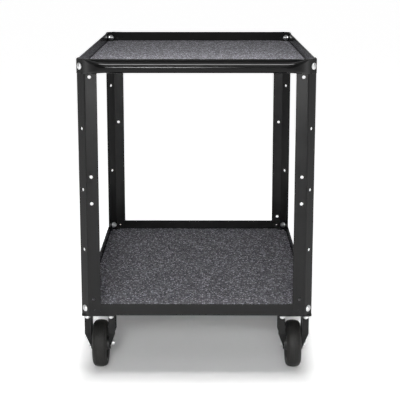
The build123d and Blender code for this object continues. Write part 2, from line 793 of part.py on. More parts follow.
axle_hardware("front", "s", [(*caster_centres[f"front_{side}"], axle_z) for side in sides])
plate_tops = [Plane(origin=(*caster_centres[f"rear_{side}"], mount_height)) for side in sides]
copies("swivel_kingpins", kingpin(), plate_tops)
copies("kingpin_nuts", kingpin_nut(), plate_tops)
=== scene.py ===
"""The luggage cart's looks: its coats, liners, tyres and fasteners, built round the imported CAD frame."""
import json
from math import cos, pi, radians, sin, tau

import bmesh
import bpy
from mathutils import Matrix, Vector, noise


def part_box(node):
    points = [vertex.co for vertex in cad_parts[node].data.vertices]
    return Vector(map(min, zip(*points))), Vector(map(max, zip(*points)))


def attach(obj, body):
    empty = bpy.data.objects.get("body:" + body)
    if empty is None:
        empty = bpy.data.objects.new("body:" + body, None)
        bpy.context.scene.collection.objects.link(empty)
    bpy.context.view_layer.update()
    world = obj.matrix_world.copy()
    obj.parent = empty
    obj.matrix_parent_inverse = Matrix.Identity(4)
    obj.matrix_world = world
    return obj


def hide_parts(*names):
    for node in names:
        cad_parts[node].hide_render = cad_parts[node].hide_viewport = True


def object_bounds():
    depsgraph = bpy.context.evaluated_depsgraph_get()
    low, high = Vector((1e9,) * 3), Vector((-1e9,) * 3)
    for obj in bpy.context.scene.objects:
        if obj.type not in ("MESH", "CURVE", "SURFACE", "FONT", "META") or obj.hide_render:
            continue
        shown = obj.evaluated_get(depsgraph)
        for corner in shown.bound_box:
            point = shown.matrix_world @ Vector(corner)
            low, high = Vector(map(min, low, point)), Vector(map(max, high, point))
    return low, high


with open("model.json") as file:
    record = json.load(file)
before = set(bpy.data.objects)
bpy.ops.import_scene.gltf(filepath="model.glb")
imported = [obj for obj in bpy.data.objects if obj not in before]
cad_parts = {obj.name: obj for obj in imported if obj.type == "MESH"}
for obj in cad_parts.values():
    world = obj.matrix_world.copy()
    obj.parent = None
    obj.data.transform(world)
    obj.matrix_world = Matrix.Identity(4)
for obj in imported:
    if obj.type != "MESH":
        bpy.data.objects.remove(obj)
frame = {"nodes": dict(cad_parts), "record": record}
cad_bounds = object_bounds()
mm = 0.001

# ---- The cart's own sizes, in metres ---------------------------------------------------------
half_width = Vector(cad_bounds[1]).x
half_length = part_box("post_rear_left")[1][1]
post_facet = 21.1 * mm  # how far the 45 degree facet cuts each corner
post_sheet = 2.5 * mm
tray_sheet = 1.5 * mm
tab_thickness = 3.0 * mm  # the push handle's crushed end, under a bolt head
plate_thickness = 4.0 * mm  # of a caster's top plate
plate_bolts = Vector((31.0, 37.5, 0)) * mm  # from a caster's centre to its plate bolts
liner_corner_cut = 36.1 * mm
liner_edge_round = 0.9 * mm
liner_swell, liner_ripple = 0.25, 0.12  # in mm: how far the liner's surface wanders
liner_sink = 0.30  # in mm: keeps the highest swell inside the sheet's own thickness
tyre_seat = 49.0 * mm  # radius of the core that the tyre is cast on
rim_half = 18.0 * mm
screw_radius, screw_pitch = 4.0 * mm, 1.25 * mm
nut_flats, nut_height, nut_flange = 13.0 * mm, 8.0 * mm, 17.9 * mm
handle_bolt_length, deck_bolt_length = 20.0 * mm, 16.0 * mm
stud_length, stud_head = 14.0 * mm, 5.5 * mm
ends = {"front": -1, "rear": 1}
sides = {"left": -1, "right": 1}


def middle(node):
    """The middle of a CAD node's box."""
    lowest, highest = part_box(node)
    return (Vector(lowest) + Vector(highest)) / 2


# ---- Wiring shader nodes ---------------------------------------------------------------------
def feed(tree, socket, source):
    if isinstance(source, bpy.types.NodeSocket):
        tree.links.new(source, socket)
    else:
        socket.default_value = source


def place(tree, kind, inputs=None, **settings):
    """Adds one node, sets its own settings and feeds its inputs, by name or by number."""
    made = tree.nodes.new(kind)
    for key, value in settings.items():
        setattr(made, key, value)
    for key, source in (inputs or {}).items():
        feed(tree, made.inputs[key], source)
    return made


def maths(tree, operation, *values, clamp=False):
    made = place(tree, "ShaderNodeMath", dict(enumerate(values)), operation=operation, use_clamp=clamp)
    return made.outputs[0]


def blend_colour(tree, share, under, over):
    inputs = {0: share, 6: under, 7: over}
    return place(tree, "ShaderNodeMix", inputs, data_type="RGBA").outputs[2]


def blend_value(tree, share, under, over):
    return place(tree, "ShaderNodeMix", {0: share, 2: under, 3: over}, data_type="FLOAT").outputs[0]


def step(tree, value, start, stop):
    """0 below start, 1 above stop, and smooth between them."""
    inputs = {"Value": value, "From Min": start, "From Max": stop}
    return place(tree, "ShaderNodeMapRange", inputs, interpolation_type="SMOOTHSTEP").outputs[0]


def cloud(tree, where, size, detail=3.0, roughness=0.55):
    """Soft noise whose blots are about as large as size, in metres."""
    scale = maths(tree, "DIVIDE", 1.0, size)
    inputs = {"Vector": where, "Scale": scale, "Detail": detail, "Roughness": roughness}
    return place(tree, "ShaderNodeTexNoise", inputs).outputs[0]


def new_group(name, inputs, outputs):
    """An empty shader group with named sockets, and its two ends."""
    group = bpy.data.node_groups.new(name, "ShaderNodeTree")
    for title, kind, value in inputs:
        socket = group.interface.new_socket(title, in_out="INPUT", socket_type=f"NodeSocket{kind}")
        if value is not None:
            socket.default_value = value
    for title, kind in outputs:
        group.interface.new_socket(title, in_out="OUTPUT", socket_type=f"NodeSocket{kind}")
    start = group.nodes.new("NodeGroupInput").outputs
    stop = group.nodes.new("NodeGroupOutput").inputs
    return group, start, stop


# ---- Effects that several finishes share -----------------------------------------------------
def make_edge_wear():
    """Rubbed edges: where a rounded normal leaves the true one, broken up by soft patches."""
    group, start, stop = new_group(
        "edge wear",
        [("Position", "Vector", None), ("Radius", "Float", 1.2 * mm), ("Amount", "Float", 0.5),
         ("Patch Size", "Float", 0.03)],
        [("Wear", "Float"), ("Normal", "Vector")],
    )
    rounded = place(group, "ShaderNodeBevel", {"Radius": start["Radius"]}, samples=4).outputs[0]
    true = place(group, "ShaderNodeNewGeometry").outputs["Normal"]
    facing = place(group, "ShaderNodeVectorMath", {0: rounded, 1: true},
                   operation="DOT_PRODUCT").outputs["Value"]
    edge = step(group, maths(group, "SUBTRACT", 1.0, facing), 0.02, 0.16)
    patches = step(group, cloud(group, start["Position"], start["Patch Size"], 5.0, 0.65), 0.42, 0.66)
    worn = maths(group, "MULTIPLY", maths(group, "MULTIPLY", edge, patches), start["Amount"], clamp=True)
    feed(group, stop["Wear"], worn)
    feed(group, stop["Normal"], rounded)
    return group


def make_grain():
    """Fine pits and bumps in two sizes, as on a sprayed coat, rubber or moulded plastic."""
    group, start, stop = new_group(
        "grain",
        [("Position", "Vector", None), ("Size", "Float", 1 * mm), ("Coarse Share", "Float", 0.35)],
        [("Height", "Float")],
    )
    fine = cloud(group, start["Position"], start["Size"], 2.0, 0.5)
    coarse_size = maths(group, "MULTIPLY", start["Size"], 6.0)
    coarse = cloud(group, start["Position"], coarse_size, 2.0, 0.5)
    feed(group, stop["Height"], blend_value(group, start["Coarse Share"], fine, coarse))
    return group


def make_dust():
    """Pale dust in soft patches on the faces that look up."""
    group, start, stop = new_group(
        "dust",
        [("Position", "Vector", None), ("Facing", "Vector", None), ("Amount", "Float", 0.3),
         ("Patch Size", "Float", 0.08)],
        [("Dust", "Float")],
    )
    up = step(group, place(group, "ShaderNodeSeparateXYZ", {0: start["Facing"]}).outputs[2], 0.1, 0.95)
    patches = step(group, cloud(group, start["Position"], start["Patch Size"], 6.0, 0.7), 0.35, 0.75)
    specks = step(group, cloud(group, start["Position"], 1.5 * mm, 2.0, 0.5), 0.45, 0.7)
    layer = maths(group, "MULTIPLY_ADD", patches, 0.7, maths(group, "MULTIPLY", specks, 0.3))
    feed(group, stop["Dust"], maths(group, "MULTIPLY", maths(group, "MULTIPLY", up, layer), start["Amount"]))
    return group


def make_scuffs():
    """Thin rubbed streaks that run along X and along Y, gathered in patches."""
    group, start, stop = new_group(
        "scuffs",
        [("Position", "Vector", None), ("Length", "Float", 0.05), ("Width", "Float", 1 * mm),
         ("Amount", "Float", 0.4)],
        [("Scuffs", "Float")],
    )
    streaks = []
    for turn in (radians(8), radians(97)):
        turned = place(group, "ShaderNodeVectorRotate", {"Vector": start["Position"], "Angle": turn},
                       rotation_type="Z_AXIS").outputs[0]
        parts = place(group, "ShaderNodeSeparateXYZ", {0: turned}).outputs
        squeezed = place(group, "ShaderNodeCombineXYZ", {
            0: maths(group, "DIVIDE", parts[0], start["Length"]),
            1: maths(group, "DIVIDE", parts[1], start["Width"]),
            2: maths(group, "DIVIDE", parts[2], start["Width"]),
        }).outputs[0]
        inputs = {"Vector": squeezed, "Scale": 1.0, "Detail": 1.0}
        streaks.append(step(group, place(group, "ShaderNodeTexNoise", inputs).outputs[0], 0.66, 0.76))
    patches = step(group, cloud(group, start["Position"], 0.09, 2.0, 0.5), 0.46, 0.62)
    both = maths(group, "MULTIPLY", maths(group, "MAXIMUM", *streaks), patches)
    feed(group, stop["Scuffs"], maths(group, "MULTIPLY", both, start["Amount"]))
    return group


def make_speckle():
    """A share of tiny cells, each with its own strength, as flecks in a fibre sheet or in rubber."""
    group, start, stop = new_group(
        "speckle",
        [("Position", "Vector", None), ("Size", "Float", 1 * mm), ("Share", "Float", 0.2)],
        [("Flecks", "Float"), ("Shade", "Float")],
    )
    inputs = {"Vector": start["Position"], "Scale": maths(group, "DIVIDE", 1.0, start["Size"])}
    cells = place(group, "ShaderNodeTexVoronoi", inputs).outputs
    drawn = place(group, "ShaderNodeSeparateColor", {0: cells["Color"]}).outputs
    chosen = maths(group, "LESS_THAN", drawn[0], start["Share"])
    core = step(group, maths(group, "SUBTRACT", 0.62, cells["Distance"]), 0.0, 0.3)
    feed(group, stop["Flecks"], maths(group, "MULTIPLY", chosen, core))
    feed(group, stop["Shade"], drawn[1])
    return group


edge_wear, grain, dust, scuffs, speckle = (
    make_edge_wear(), make_grain(), make_dust(), make_scuffs(), make_speckle())


# ---- Finishes --------------------------------------------------------------------------------
class Finish:
    """A material in the making: its node tree, its shader and the piece's own coordinates."""

    def __init__(self, name):
        self.material = bpy.data.materials.new(name)
        self.material.use_nodes = True
        self.tree = self.material.node_tree
        self.shader = next(node for node in self.tree.nodes if node.type == "BSDF_PRINCIPLED")
        coordinates = place(self.tree, "ShaderNodeTexCoord")
        self.where = coordinates.outputs["Object"]
        self.facing = coordinates.outputs["Normal"]

    def effect(self, group, **inputs):
        """Places a shared effect; input names have _ for a space."""
        node = place(self.tree, "ShaderNodeGroup", node_tree=group)
        feed(self.tree, node.inputs["Position"], self.where)
        for key, source in inputs.items():
            feed(self.tree, node.inputs[key.replace("_", " ")], source)
        return node.outputs

    def set(self, **inputs):
        for key, source in inputs.items():
            feed(self.tree, self.shader.inputs[key.replace("_", " ")], source)

    def bump(self, height, depth, under=None):
        """A bump of a depth in metres, on top of another normal if there is one."""
        inputs = {"Height": height, "Distance": depth, "Strength": 1.0}
        if under is not None:
            inputs["Normal"] = under
        return place(self.tree, "ShaderNodeBump", inputs).outputs[0]


def grey(value, tint=(1.0, 1.0, 1.0)):
    return (value * tint[0], value * tint[1], value * tint[2], 1.0)


dust_colour = grey(0.42, (1.0, 0.98, 0.94))
bare_steel = grey(0.36, (1.0, 0.99, 0.97))
scuffed_coat = grey(0.07)


def coated_steel(name, colour, roughness, grain_size, grain_depth, wear, dusting, scuffing):
    """A black coat on steel: pitted like orange peel, rubbed at its edges, scuffed and a little dusty."""
    finish = Finish(name)
    tree = finish.tree
    worn = finish.effect(edge_wear, Radius=0.9 * mm, Amount=wear, Patch_Size=0.035)
    peel = finish.effect(grain, Size=grain_size, Coarse_Share=0.3)["Height"]
    rubbed = finish.effect(scuffs, Length=0.045, Width=0.9 * mm, Amount=scuffing)["Scuffs"]
    settled = finish.effect(dust, Facing=finish.facing, Amount=dusting)["Dust"]
    mottle = cloud(tree, finish.where, 0.06, 4.0)
    coat = blend_colour(tree, mottle, grey(colour * 0.85), grey(colour * 1.2))
    coat = blend_colour(tree, rubbed, coat, scuffed_coat)
    coat = blend_colour(tree, settled, coat, dust_colour)
    coat = blend_colour(tree, worn["Wear"], coat, bare_steel)
    shine = blend_value(tree, mottle, roughness - 0.05, roughness + 0.07)
    shine = blend_value(tree, maths(tree, "MAXIMUM", rubbed, settled), shine, 0.7)
    metal = maths(tree, "MULTIPLY", worn["Wear"], 0.9)
    finish.set(Base_Color=coat, Roughness=shine, Metallic=metal, Specular_IOR_Level=0.18,
               Normal=finish.bump(peel, grain_depth, worn["Normal"]))
    return finish.material


def powder_coat():
    return coated_steel("satin black powder coat", colour=0.008, roughness=0.21, grain_size=1.3 * mm,
                        grain_depth=0.02 * mm, wear=0.25, dusting=0.012, scuffing=0.12)


def gloss_coat():
    return coated_steel("gloss black tube coat", colour=0.004, roughness=0.14, grain_size=4.0 * mm,
                        grain_depth=0.004 * mm, wear=0.2, dusting=0.006, scuffing=0.08)


def fork_coat():
    return coated_steel("black caster coat", colour=0.007, roughness=0.36, grain_size=0.9 * mm,
                        grain_depth=0.02 * mm, wear=0.3, dusting=0.012, scuffing=0.15)


def deck_liner():
    """A grey non-woven liner with pale and dark flecks, flattened where loads have stood."""
    finish = Finish("speckled grey deck liner")
    tree = finish.tree
    pale = finish.effect(speckle, Size=4.8 * mm, Share=0.36)
    dark = finish.effect(speckle, Size=4.4 * mm, Share=0.46)
    fine = finish.effect(speckle, Size=1.6 * mm, Share=0.35)
    fibres = finish.effect(grain, Size=1.6 * mm, Coarse_Share=0.4)["Height"]
    rubbed = finish.effect(scuffs, Length=0.12, Width=2.5 * mm, Amount=0.10)["Scuffs"]
    tracks = cloud(tree, finish.where, 0.16, 3.0, 0.6)
    pressed, raised = grey(0.085, (0.98, 0.97, 1.12)), grey(0.105, (0.98, 0.97, 1.10))
    ground = blend_colour(tree, step(tree, tracks, 0.3, 0.7), pressed, raised)
    ground = blend_colour(tree, dark["Flecks"], ground, grey(0.008))
    fleck = blend_colour(tree, pale["Shade"], grey(0.30), grey(0.72, (0.98, 0.97, 1.10)))
    ground = blend_colour(tree, pale["Flecks"], ground, fleck)
    ground = blend_colour(tree, maths(tree, "MULTIPLY", fine["Flecks"], 0.6), ground, fleck)
    ground = blend_colour(tree, rubbed, ground, grey(0.15))
    height = blend_value(tree, 0.5, fibres, maths(tree, "SUBTRACT", pale["Flecks"], dark["Flecks"]))
    finish.set(Base_Color=ground, Roughness=blend_value(tree, tracks, 0.78, 0.95),
               Normal=finish.bump(height, 0.8 * mm), Specular_IOR_Level=0.12,
               Sheen_Weight=0.03, Sheen_Roughness=0.5)
    return finish.material


def zinc():
    """Bright zinc plate with a faint blue passivation, paler where its edges are rubbed."""
    finish = Finish("bright zinc plate")
    tree = finish.tree
    worn = finish.effect(edge_wear, Radius=0.4 * mm, Amount=0.5, Patch_Size=0.01)
    spangle = cloud(tree, finish.where, 2.2 * mm, 4.0, 0.6)
    plate = blend_colour(tree, step(tree, spangle, 0.3, 0.7), grey(0.62, (0.97, 0.99, 1.03)),
                         grey(0.80, (1.0, 1.0, 0.98)))
    plate = blend_colour(tree, worn["Wear"], plate, grey(0.9))
    lines = finish.effect(grain, Size=0.25 * mm, Coarse_Share=0.2)["Height"]
    finish.set(Base_Color=plate, Metallic=1.0, Roughness=blend_value(tree, spangle, 0.22, 0.42),
               Normal=finish.bump(lines, 0.006 * mm, worn["Normal"]))
    return finish.material


def tyre_rubber():
    """Black rubber with a dull bloom, and floor dust rubbed into the tread."""
    finish = Finish("black cast rubber")
    tree = finish.tree
    tread = finish.effect(speckle, Size=1.1 * mm, Share=0.22)
    texture = finish.effect(grain, Size=0.7 * mm, Coarse_Share=0.45)["Height"]
    bloom = step(tree, cloud(tree, finish.where, 0.03, 5.0, 0.6), 0.35, 0.75)
    rubber = blend_colour(tree, bloom, grey(0.009, (1.02, 1.0, 0.92)), grey(0.016, (1.03, 1.0, 0.93)))
    rubber = blend_colour(tree, maths(tree, "MULTIPLY", tread["Flecks"], 0.3), rubber, grey(0.045))
    finish.set(Base_Color=rubber, Roughness=blend_value(tree, bloom, 0.5, 0.75), Specular_IOR_Level=0.25,
               Normal=finish.bump(texture, 0.05 * mm))
    return finish.material


def moulded(name, dark, pale, roughness, texture_size, texture_depth):
    """A moulded plastic: faintly mottled, with fine spark-eroded texture and paler rubbed edges."""
    finish = Finish(name)
    tree = finish.tree
    worn = finish.effect(edge_wear, Radius=0.6 * mm, Amount=0.5, Patch_Size=0.012)
    texture = finish.effect(grain, Size=texture_size, Coarse_Share=0.3)["Height"]
    flow = cloud(tree, finish.where, 0.02, 3.0)
    plastic = blend_colour(tree, flow, grey(dark), grey(pale))
    plastic = blend_colour(tree, worn["Wear"], plastic, grey(min(1.0, pale * 3)))
    finish.set(Base_Color=plastic, Roughness=blend_value(tree, flow, roughness - 0.05, roughness + 0.08),
               Normal=finish.bump(texture, texture_depth, worn["Normal"]))
    return finish.material


def core_plastic():
    return moulded("dark moulded wheel core", dark=0.030, pale=0.042, roughness=0.42,
                   texture_size=0.6 * mm, texture_depth=0.03 * mm)


def bush_nylon():
    return moulded("natural nylon", dark=0.55, pale=0.66, roughness=0.40,
                   texture_size=0.5 * mm, texture_depth=0.01 * mm)


def pedal_coat():
    return coated_steel("black pedal coat", colour=0.01, roughness=0.34, grain_size=0.9 * mm,
                        grain_depth=0.02 * mm, wear=0.9, dusting=0.02, scuffing=0.5)


def bearing_steel():
    """Polished balls under a film of grease."""
    finish = Finish("greased bearing steel")
    tree = finish.tree
    grease = step(tree, cloud(tree, finish.where, 2.0 * mm, 3.0), 0.4, 0.65)
    texture = finish.effect(grain, Size=0.5 * mm, Coarse_Share=0.5)["Height"]
    finish.set(Base_Color=blend_colour(tree, grease, grey(0.6), grey(0.25, (1.0, 0.82, 0.55))),
               Metallic=blend_value(tree, grease, 1.0, 0.4), Roughness=blend_value(tree, grease, 0.12, 0.35),
               Normal=finish.bump(texture, 0.01 * mm))
    return finish.material


finishes = {make.__name__: make() for make in (
    powder_coat, gloss_coat, deck_liner, zinc, fork_coat, tyre_rubber, core_plastic, bush_nylon,
    bearing_steel, pedal_coat)}
slot_of = {part["node"]: part["material_slot"] for part in frame["record"]["subparts"]}


def coat_cad_nodes():
    for name, node in frame["nodes"].items():
        for slot in node.material_slots:
            slot.material = finishes[slot_of[name]]


# ---- Turning meshes into pieces --------------------------------------------------------------
def smooth_sharp(mesh, angle=35):
    """Smooth faces, with the edges sharper than angle kept crisp."""
    mesh.shade_smooth()
    mesh.set_sharp_from_angle(angle=radians(angle))


def new_piece(name, shape, body, slot, nodes=(), angle=35):
    """Turns a bmesh or a mesh into a finished piece that rides on a body and stands for CAD nodes."""
    if isinstance(shape, bmesh.types.BMesh):
        mesh = bpy.data.meshes.new(name)
        shape.to_mesh(mesh)
        shape.free()
        smooth_sharp(mesh, angle)
    else:
        mesh = shape
        mesh.name = name
    if not mesh.materials:
        mesh.materials.append(finishes[slot])
    piece = bpy.data.objects.new(name, mesh)
    bpy.context.scene.collection.objects.link(piece)
    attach(piece, body)
    if nodes:
        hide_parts(*nodes)
    return piece


def revolved(outline, axis_at, axis, steps=96):
    """A closed outline of (along, out) points turned about an axis: a ring, or a solid where out is 0."""
    shape = bmesh.new()
    across = axis.orthogonal().normalized()
    up = axis.cross(across)
    rings = []
    for along, out in outline:
        if out < 1e-7:
            rings.append([shape.verts.new(axis_at + axis * along)])
            continue
        ring = []
        for index in range(steps):
            angle = tau * index / steps
            way = across * cos(angle) + up * sin(angle)
            ring.append(shape.verts.new(axis_at + axis * along + way * out))
        rings.append(ring)
    pairs = list(zip(rings, rings[1:] + rings[:1]))
    for first, second in pairs:
        for index in range(steps):
            after = (index + 1) % steps
            corners = [first[index % len(first)], first[after % len(first)],
                       second[after % len(second)], second[index % len(second)]]
            distinct = list(dict.fromkeys(corners))
            if len(distinct) > 2:
                shape.faces.new(distinct)
    bmesh.ops.recalc_face_normals(shape, faces=shape.faces)
    return shape


# ---- Deck liners -----------------------------------------------------------------------------
def laid_liner(name, node, seed):
    """A liner sheet: cut corners, a rolled top edge, and a surface that isn't quite flat."""
    lowest, highest = (Vector(corner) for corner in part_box(node))
    x, y, cut = highest.x, highest.y, liner_corner_cut
    outline = [(x - cut, y), (-x + cut, y), (-x, y - cut), (-x, -y + cut),
               (-x + cut, -y), (x - cut, -y), (x, -y + cut), (x, y - cut)]
    shape = bmesh.new()
    corners = [shape.verts.new((px, py, lowest.z)) for px, py in outline]
    bottom = shape.faces.new(corners)
    raised = bmesh.ops.extrude_face_region(shape, geom=[bottom])["geom"]
    top = [item for item in raised if isinstance(item, bmesh.types.BMVert)]
    bmesh.ops.translate(shape, verts=top, vec=(0, 0, highest.z - lowest.z))
    top_edges = [edge for edge in shape.edges if all(vert.co.z > highest.z - 1e-6 for vert in edge.verts)]
    bmesh.ops.bevel(shape, geom=top_edges, offset=liner_edge_round, segments=3, profile=0.5, affect="EDGES")
    spacing = 14 * mm
    for normal, reach in ((Vector((1, 0, 0)), x), (Vector((0, 1, 0)), y)):
        count = int(2 * reach / spacing)
        for index in range(1, count):
            cut_at = normal * (-reach + 2 * reach * index / count)
            geometry = shape.verts[:] + shape.edges[:] + shape.faces[:]
            bmesh.ops.bisect_plane(shape, geom=geometry, plane_co=cut_at, plane_no=normal)
    thickness = highest.z - lowest.z
    for vert in shape.verts:
        rise = (vert.co.z - lowest.z) / thickness
        swell = noise.noise(Vector((vert.co.x * 9, vert.co.y * 9, seed)))
        ripple = noise.noise(Vector((vert.co.x * 40, vert.co.y * 40, seed + 5)))
        vert.co.z += rise * (swell * liner_swell + ripple * liner_ripple - liner_sink) * mm
    bmesh.ops.recalc_face_normals(shape, faces=shape.faces)
    piece = new_piece(name, shape, "frame", "deck_liner", [node])


# ---- Tyres -----------------------------------------------------------------------------------
def tyre(name, node, body):
    """A cast tyre: crowned tread with a parting line, two shoulder grooves and a ringed sidewall."""
    lowest, highest = (Vector(corner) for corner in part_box(node))
    centre = (lowest + highest) / 2
    tread = (highest.z - lowest.z) / 2
    shoulder = (highest.x - lowest.x) / 2
    half = [(0.35 * mm, tread), (0.5 * mm, tread - 0.25 * mm)]
    half += [(along * mm, tread - drop * mm) for along, drop in (
        (4, 0.45), (8, 1.0), (10.4, 1.55), (10.8, 2.3), (11.6, 2.5), (12.0, 1.95), (14.0, 3.0), (16.0, 4.5),
        (17.6, 6.3), (18.8, 8.3), (19.5, 10.3), (19.8, 12.0))]
    half += [(shoulder - 0.9 * mm, tyre_seat + 1.9 * mm), (rim_half, tyre_seat)]
    outline = half + [(-along, out) for along, out in reversed(half)]
    new_piece(name, revolved(outline, centre, Vector((1, 0, 0)), 120), body, "tyre_rubber", [node], 25)


# ---- Fasteners -------------------------------------------------------------------------------
def prototype(name, shape):
    """A fastener at the origin, seat down and its shank along -Z, for the scatter to copy."""
    mesh = bpy.data.meshes.new(name)
    shape.to_mesh(mesh)
    shape.free()
    smooth_sharp(mesh, 32)
    return bpy.data.objects.new(name, mesh)


def threaded(radius, length, start):
    """The outline of a threaded stretch that runs down from start, ridge by ridge."""
    points = []
    root = radius - 0.55 * screw_pitch
    for index in range(int(length / screw_pitch)):
        top = start - index * screw_pitch
        points += [(top - 0.15 * screw_pitch, radius), (top - 0.5 * screw_pitch, root),
                   (top - 0.85 * screw_pitch, radius)]
    return points


def hexagon(radius, flats_radius, angle):
    """How far out a hexagon's side is at an angle, but no further than a circle."""
    within = (angle % (pi / 3)) - pi / 6
    return min(radius, flats_radius / cos(within))


def add_rings(shape, levels, flats_radius, steps):
    """Adds one ring of points at each level (height, out, whether it has six sides)."""
    rings = []
    for z, out, six_sided in levels:
        ring = []
        for index in range(steps):
            angle = tau * index / steps
            reach = hexagon(out, flats_radius, angle) if six_sided else out
            ring.append(shape.verts.new((cos(angle) * reach, sin(angle) * reach, z)))
        rings.append(ring)
    return rings


def join_rings(shape, rings, next_rings):
    for first, second in zip(rings, next_rings):
        for index in range(len(first)):
            after = (index + 1) % len(first)
            shape.faces.new((first[index], first[after], second[after], second[index]))


def nut_shape(flats, height, flange, bore, steps=48):
    """A flange nut round its bolt: a dished flange, six flats, and a chamfered open end."""
    shape = bmesh.new()
    corner = flats / 2 / cos(pi / 6)
    levels = [
        (0.0, flange / 2 - 0.2 * mm, False), (0.35 * mm, flange / 2, False), (1.1 * mm, flange / 2, False),
        (1.5 * mm, flange / 2 - 0.5 * mm, False), (2.6 * mm, flats / 2 + 0.5 * mm, False),
        (2.9 * mm, corner, True), (height - 1.1 * mm, corner, True),
        (height - 0.2 * mm, flats / 2 - 0.2 * mm, True),
        (height, flats / 2 - 0.9 * mm, False), (height, bore / 2 + 0.6 * mm, False),
        (height - 0.7 * mm, bore / 2, False), (0.0, bore / 2, False),
    ]
    rings = add_rings(shape, levels, flats / 2, steps)
    join_rings(shape, rings, rings[1:] + rings[:1])
    bmesh.ops.recalc_face_normals(shape, faces=shape.faces)
    return shape


def add_revolved(shape, outline, steps):
    """Adds a turned solid about Z to a shape."""
    turned = revolved(outline, Vector(), Vector((0, 0, 1)), steps)
    mesh = bpy.data.meshes.new("turned")
    turned.to_mesh(mesh)
    turned.free()
    shape.from_mesh(mesh)
    bpy.data.meshes.remove(mesh)


def button_bolt_shape(length, steps=48):
    """A domed, flanged head with a hexagon socket, and its threaded shank."""
    shape = bmesh.new()
    flange, dome, socket = 8.75 * mm, 4.6 * mm, 2.5 * mm
    corner = socket / cos(pi / 6)
    levels = [
        (0.0, flange - 0.25 * mm, False), (0.3 * mm, flange, False), (0.9 * mm, flange, False),
        (1.25 * mm, flange - 0.5 * mm, False), (1.6 * mm, 6.95 * mm, False), (2.6 * mm, 6.5 * mm, False),
        (3.5 * mm, 5.5 * mm, False), (4.2 * mm, 4.3 * mm, False), (dome, 3.2 * mm, False),
        (dome, corner + 0.15 * mm, True), (dome - 0.2 * mm, corner, True), (dome - 2.6 * mm, corner, True),
    ]
    rings = add_rings(shape, levels, socket, steps)
    join_rings(shape, rings, rings[1:])
    socket_floor = shape.verts.new((0, 0, dome - 3.1 * mm))
    seat_centre = shape.verts.new((0, 0, 0))
    for index in range(steps):
        after = (index + 1) % steps
        shape.faces.new((rings[-1][index], rings[-1][after], socket_floor))
        shape.faces.new((rings[0][index], rings[0][after], seat_centre))
    add_revolved(shape, shank_outline(length, screw_radius), steps // 2)
    bmesh.ops.recalc_face_normals(shape, faces=shape.faces)
    return shape


def shank_outline(length, radius, plain=1.5 * mm):
    """A shank from just under the seat to its chamfered end, threaded for most of its length."""
    thread = threaded(radius, length - plain - 0.8 * mm, -plain)
    return [(-0.1 * mm, 0.0), (-0.1 * mm, radius), (-plain, radius), *thread,
            (-length + 0.3 * mm, radius - 0.9 * mm), (-length, radius - 1.2 * mm), (-length, 0.0)]


def stud_shape(reach, head):
    """A clinch stud: its flush head above the seat and a threaded end below it."""
    shape = bmesh.new()
    flush, chamfer = 1.45 * mm, 0.2 * mm
    head_outline = [(flush, 0.0), (flush, head - chamfer), (flush - chamfer, head), (0.0, head), (0.0, 0.0)]
    add_revolved(shape, head_outline, 32)
    add_revolved(shape, shank_outline(reach, screw_radius, 0.8 * mm), 24)
    return shape


def scatter_tree():
    """Copies one fastener to every point, each turned a little differently about its own axis."""
    tree = bpy.data.node_groups.new("fasteners at points", "GeometryNodeTree")
    for title, kind in (("Points", "Geometry"), ("Fastener", "Object"), ("Most Turn", "Float"),
                        ("Seed", "Int"), ("Finish", "Material")):
        tree.interface.new_socket(title, in_out="INPUT", socket_type=f"NodeSocket{kind}")
    tree.interface.new_socket("Fasteners", in_out="OUTPUT", socket_type="NodeSocketGeometry")
    start = tree.nodes.new("NodeGroupInput").outputs
    stop = tree.nodes.new("NodeGroupOutput").inputs
    facing = place(tree, "GeometryNodeInputNamedAttribute", {"Name": "facing"},
                   data_type="FLOAT_VECTOR").outputs[0]
    upright = place(tree, "FunctionNodeAlignRotationToVector", {"Vector": facing}, axis="Z").outputs[0]
    drawn = place(tree, "FunctionNodeRandomValue", data_type="FLOAT")
    feed(tree, drawn.inputs[2], 0.0)
    feed(tree, drawn.inputs[3], start["Most Turn"])
    feed(tree, drawn.inputs["Seed"], start["Seed"])
    turn = place(tree, "FunctionNodeAxisAngleToRotation",
                 {"Axis": (0, 0, 1), "Angle": drawn.outputs[1]}).outputs[0]
    turned = place(tree, "FunctionNodeRotateRotation", {0: upright, 1: turn},
                   rotation_space="LOCAL").outputs[0]
    model = place(tree, "GeometryNodeObjectInfo", {"Object": start["Fastener"]}).outputs["Geometry"]
    inputs = {"Points": start["Points"], "Instance": model, "Rotation": turned}
    copied = place(tree, "GeometryNodeInstanceOnPoints", inputs).outputs[0]
    real = place(tree, "GeometryNodeRealizeInstances", {0: copied}).outputs[0]
    coated = place(tree, "GeometryNodeSetMaterial",
                   {"Geometry": real, "Material": start["Finish"]}).outputs[0]
    feed(tree, stop[0], coated)
    return tree


scatter = scatter_tree()


def fasteners(name, model, places, body, nodes, seed, slot="zinc"):
    """One mesh of copies of a model, at a list of (point, facing) places."""
    points = bpy.data.meshes.new(name + " points")
    points.from_pydata([tuple(point) for point, _ in places], [], [])
    facing = points.attributes.new("facing", "FLOAT_VECTOR", "POINT")
    for index, (_, way) in enumerate(places):
        facing.data[index].vector = way
    holder = bpy.data.objects.new(name + " holder", points)
    bpy.context.scene.collection.objects.link(holder)
    modifier = holder.modifiers.new("scatter", "NODES")
    modifier.node_group = scatter
    values = {"Fastener": model, "Most Turn": tau, "Seed": seed, "Finish": finishes[slot]}
    for socket in scatter.interface.items_tree:
        if socket.in_out == "INPUT" and socket.name in values:
            modifier[socket.identifier] = values[socket.name]
    evaluated = holder.evaluated_get(bpy.context.evaluated_depsgraph_get())
    mesh = bpy.data.meshes.new_from_object(evaluated)
    holder.modifiers.remove(modifier)
    bpy.data.objects.remove(holder)
    return new_piece(name, mesh, body, slot, nodes)


